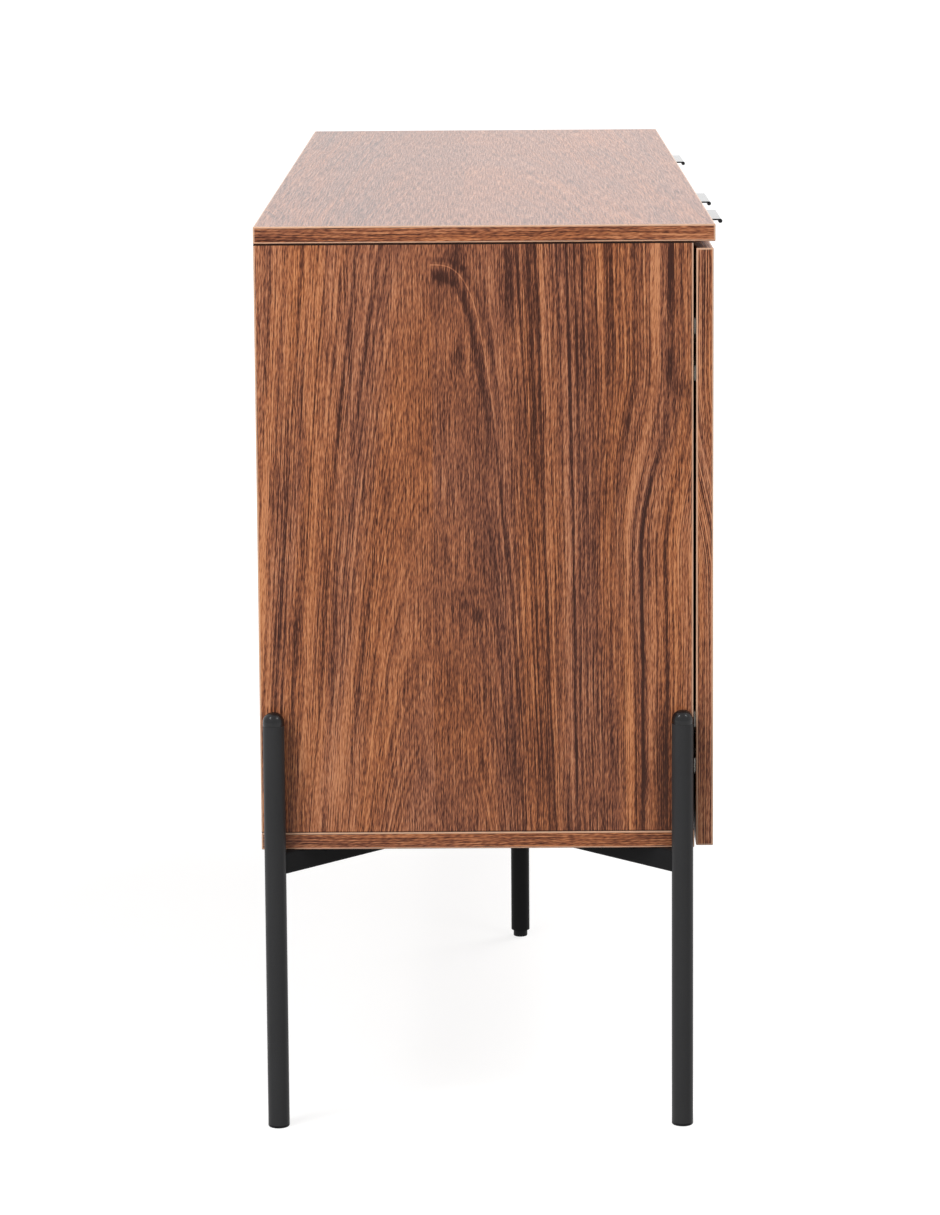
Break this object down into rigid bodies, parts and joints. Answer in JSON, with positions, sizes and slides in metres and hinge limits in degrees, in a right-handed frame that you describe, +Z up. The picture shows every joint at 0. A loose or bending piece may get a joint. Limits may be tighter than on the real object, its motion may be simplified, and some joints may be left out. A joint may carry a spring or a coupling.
{
  "type": "credenza",
  "caption": "Walnut-look credenza with hinged cupboard doors, a stack of drawers, edge pulls and outboard round steel legs.",
  "frame": {"origin": "on the floor under the middle of the whole object's box", "axes": "+X along the length, doors at the -X end and drawers at the +X end; front faces -Y; +Z up"},
  "size_m": [1.2384, 0.4214, 0.801],
  "materials": {
    "walnut_laminate": "satin printed walnut-look laminate on chipboard",
    "hardboard": "printed hardboard",
    "drawer_board": "plain light grey laminate",
    "black_steel": "black powder coat, fine texture",
    "black_cap": "glossy black plastic",
    "black_plastic": "matte black plastic",
    "nickel_steel": "nickel-plated steel",
    "zinc_steel": "zinc-plated steel",
    "clear_bumper": "clear soft dots",
    "beech": "plain beech"
  },
  "bodies": {
    "cabinet": {"back_left_leg": "black_steel", "back_panel": "hardboard", "back_right_leg": "black_steel", "bottom_board": "walnut_laminate", "bumpers": "clear_bumper", "cabinet_rails": "zinc_steel", "cam_fittings": "zinc_steel", "dowels": "beech", "frame_fasteners": "zinc_steel", "front_left_leg": "black_steel", "front_right_leg": "black_steel", "hinge_mounts": "nickel_steel", "inside_screws": "zinc_steel", "left_end_panel": "walnut_laminate", "left_partition": "walnut_laminate", "left_shelf": "walnut_laminate", "leg_braces": "black_steel", "leg_caps": "black_cap", "leg_glides": "black_plastic", "middle_shelf": "walnut_laminate", "middle_support": "black_steel", "right_end_panel": "walnut_laminate", "right_partition": "walnut_laminate", "shelf_pins": "nickel_steel", "top_board": "walnut_laminate"},
    "left_door": {"left_door": "walnut_laminate", "left_door_pull": "black_steel", "left_door_screws": "nickel_steel", "left_hinge_cups": "nickel_steel"},
    "left_links": {"left_hinge_links": "nickel_steel"},
    "middle_door": {"middle_door": "walnut_laminate", "middle_door_pull": "black_steel", "middle_door_screws": "nickel_steel", "middle_hinge_cups": "nickel_steel"},
    "middle_links": {"middle_hinge_links": "nickel_steel"},
    "support_foot": {"support_foot": "black_plastic"},
    "top_drawer": {"top_drawer_front": "walnut_laminate", "top_drawer_sides": "drawer_board", "top_drawer_back": "drawer_board", "top_drawer_floor": "drawer_board", "top_drawer_pull": "black_steel", "top_drawer_fittings": "zinc_steel", "top_drawer_rails": "zinc_steel"},
    "top_drawer_mid": {"top_drawer_mid_rails": "zinc_steel"},
    "middle_drawer": {"middle_drawer_front": "walnut_laminate", "middle_drawer_sides": "drawer_board", "middle_drawer_back": "drawer_board", "middle_drawer_floor": "drawer_board", "middle_drawer_pull": "black_steel", "middle_drawer_fittings": "zinc_steel", "middle_drawer_rails": "zinc_steel"},
    "middle_drawer_mid": {"middle_drawer_mid_rails": "zinc_steel"},
    "bottom_drawer": {"bottom_drawer_front": "walnut_laminate", "bottom_drawer_sides": "drawer_board", "bottom_drawer_back": "drawer_board", "bottom_drawer_floor": "drawer_board", "bottom_drawer_pull": "black_steel", "bottom_drawer_fittings": "zinc_steel", "bottom_drawer_rails": "zinc_steel"},
    "bottom_drawer_mid": {"bottom_drawer_mid_rails": "zinc_steel"}
  },
  "joints": [
    {"name": "left_door_hinge", "type": "hinge", "parent": "cabinet", "child": "left_door", "pos_m": [-0.594, -0.18275, 0.515], "axis": [0, 0, -1], "range_deg": [0, 90]},
    {"name": "left_link_hinge", "type": "hinge", "parent": "cabinet", "child": "left_links", "pos_m": [-0.581, -0.16895, 0.515], "axis": [0, 0, -1], "range_deg": [0, 60.5]},
    {"name": "middle_door_hinge", "type": "hinge", "parent": "cabinet", "child": "middle_door", "pos_m": [0.1935, -0.18275, 0.515], "axis": [0, 0, 1], "range_deg": [0, 85]},
    {"name": "middle_link_hinge", "type": "hinge", "parent": "cabinet", "child": "middle_links", "pos_m": [0.1805, -0.16895, 0.515], "axis": [0, 0, 1], "range_deg": [0, 57.2]},
    {"name": "top_drawer_slide", "type": "slide", "parent": "cabinet", "child": "top_drawer", "axis": [0, -1, 0], "range_m": [0, 0.33]},
    {"name": "top_drawer_mid_slide", "type": "slide", "parent": "cabinet", "child": "top_drawer_mid", "axis": [0, -1, 0], "range_m": [0, 0.1655]},
    {"name": "middle_drawer_slide", "type": "slide", "parent": "cabinet", "child": "middle_drawer", "axis": [0, -1, 0], "range_m": [0, 0.33]},
    {"name": "middle_drawer_mid_slide", "type": "slide", "parent": "cabinet", "child": "middle_drawer_mid", "axis": [0, -1, 0], "range_m": [0, 0.1655]},
    {"name": "bottom_drawer_slide", "type": "slide", "parent": "cabinet", "child": "bottom_drawer", "axis": [0, -1, 0], "range_m": [0, 0.33]},
    {"name": "bottom_drawer_mid_slide", "type": "slide", "parent": "cabinet", "child": "bottom_drawer_mid", "axis": [0, -1, 0], "range_m": [0, 0.1655]},
    {"name": "support_foot_height", "type": "slide", "parent": "cabinet", "child": "support_foot", "axis": [0, 0, 1], "range_m": [-0.012, 0.004]}
  ],
  "couplings": [
    {"joint": "left_link_hinge", "follows": "left_door_hinge", "ratio": 0.67},
    {"joint": "middle_link_hinge", "follows": "middle_door_hinge", "ratio": 0.67},
    {"joint": "top_drawer_mid_slide", "follows": "top_drawer_slide", "ratio": 0.5},
    {"joint": "middle_drawer_mid_slide", "follows": "middle_drawer_slide", "ratio": 0.5},
    {"joint": "bottom_drawer_mid_slide", "follows": "bottom_drawer_slide", "ratio": 0.5}
  ]
}
